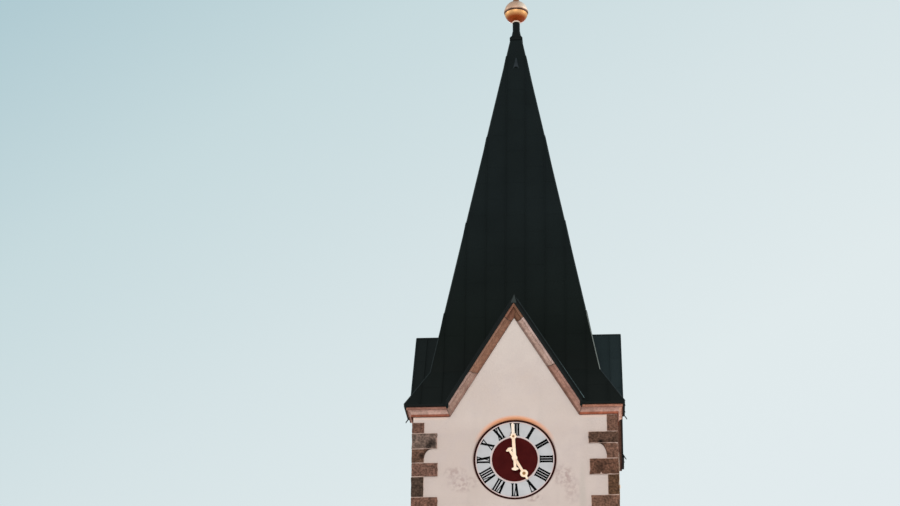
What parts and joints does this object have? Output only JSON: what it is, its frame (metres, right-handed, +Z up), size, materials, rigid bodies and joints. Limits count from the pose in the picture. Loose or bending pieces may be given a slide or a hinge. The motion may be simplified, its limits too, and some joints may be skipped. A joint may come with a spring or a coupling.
{
  "type": "church tower",
  "caption": "Square plastered church tower with stone quoins, a clock in each of its gables, a steep sheet-covered spire, a copper ball and a cross.",
  "frame": {"origin": "on the ground at the middle of the tower, on the underside of the ground floor", "axes": "+Z up along the tower, -Y out of the front with the door, +X to the right seen from the front"},
  "size_m": [5.702, 5.702, 33.1849],
  "materials": {
    "plaster": "smooth lime plaster on rubble masonry, stained below the clock",
    "sandstone": "rough dressed reddish sandstone",
    "roof_sheet": "dark weathered sheet with standing seams over boards",
    "copper_gilt": "dull copper gold",
    "dial_paint": "painted dial plate, pale grey with a dark red centre",
    "hand_gilt": "pale gold leaf",
    "dark_oak": "weathered dark boards",
    "window_glass": "plain dull glass"
  },
  "bodies": {
    "tower": {"front_wall": "plaster", "back_wall": "plaster", "left_wall": "plaster", "right_wall": "plaster", "plinth": "sandstone", "front_left_quoins": "sandstone", "front_right_quoins": "sandstone", "back_left_quoins": "sandstone", "back_right_quoins": "sandstone", "front_cornice": "sandstone", "back_cornice": "sandstone", "left_cornice": "sandstone", "right_cornice": "sandstone", "front_gable_roof": "roof_sheet", "back_gable_roof": "roof_sheet", "left_gable_roof": "roof_sheet", "right_gable_roof": "roof_sheet", "front_spire_face": "roof_sheet", "back_spire_face": "roof_sheet", "left_spire_face": "roof_sheet", "right_spire_face": "roof_sheet", "spire_cap": "roof_sheet", "spire_ball": "copper_gilt", "spire_cross": "copper_gilt", "spire_vents": "roof_sheet", "front_dial": "dial_paint", "back_dial": "dial_paint", "left_dial": "dial_paint", "right_dial": "dial_paint", "front_louvres": "dark_oak", "back_louvres": "dark_oak", "left_louvres": "dark_oak", "right_louvres": "dark_oak", "slit_window_glass": "window_glass", "entrance_door": "dark_oak", "ground_floor": "sandstone", "belfry_floor": "dark_oak"},
    "front_minute": {"front_minute_hand": "hand_gilt"},
    "front_hour": {"front_hour_hand": "hand_gilt"},
    "right_minute": {"right_minute_hand": "hand_gilt"},
    "right_hour": {"right_hour_hand": "hand_gilt"},
    "back_minute": {"back_minute_hand": "hand_gilt"},
    "back_hour": {"back_hour_hand": "hand_gilt"},
    "left_minute": {"left_minute_hand": "hand_gilt"},
    "left_hour": {"left_hour_hand": "hand_gilt"}
  },
  "joints": [
    {"name": "front_minute_turn", "type": "hinge", "parent": "tower", "child": "front_minute", "pos_m": [0, -2.634, 16.907], "axis": [0, 1, 0], "continuous": true},
    {"name": "front_hour_turn", "type": "hinge", "parent": "tower", "child": "front_hour", "pos_m": [0, -2.584, 16.907], "axis": [0, 1, 0], "continuous": true},
    {"name": "right_minute_turn", "type": "hinge", "parent": "tower", "child": "right_minute", "pos_m": [2.634, 0, 16.907], "axis": [-1, 0, 0], "continuous": true},
    {"name": "right_hour_turn", "type": "hinge", "parent": "tower", "child": "right_hour", "pos_m": [2.584, 0, 16.907], "axis": [-1, 0, 0], "continuous": true},
    {"name": "back_minute_turn", "type": "hinge", "parent": "tower", "child": "back_minute", "pos_m": [0, 2.634, 16.907], "axis": [0, -1, 0], "continuous": true},
    {"name": "back_hour_turn", "type": "hinge", "parent": "tower", "child": "back_hour", "pos_m": [0, 2.584, 16.907], "axis": [0, -1, 0], "continuous": true},
    {"name": "left_minute_turn", "type": "hinge", "parent": "tower", "child": "left_minute", "pos_m": [-2.634, 0, 16.907], "axis": [1, 0, 0], "continuous": true},
    {"name": "left_hour_turn", "type": "hinge", "parent": "tower", "child": "left_hour", "pos_m": [-2.584, 0, 16.907], "axis": [1, 0, 0], "continuous": true}
  ],
  "couplings": [
    {"joint": "front_hour_turn", "follows": "front_minute_turn", "ratio": 0.083333},
    {"joint": "right_minute_turn", "follows": "front_minute_turn", "ratio": 1},
    {"joint": "right_hour_turn", "follows": "front_minute_turn", "ratio": 0.083333},
    {"joint": "back_minute_turn", "follows": "front_minute_turn", "ratio": 1},
    {"joint": "back_hour_turn", "follows": "front_minute_turn", "ratio": 0.083333},
    {"joint": "left_minute_turn", "follows": "front_minute_turn", "ratio": 1},
    {"joint": "left_hour_turn", "follows": "front_minute_turn", "ratio": 0.083333}
  ]
}
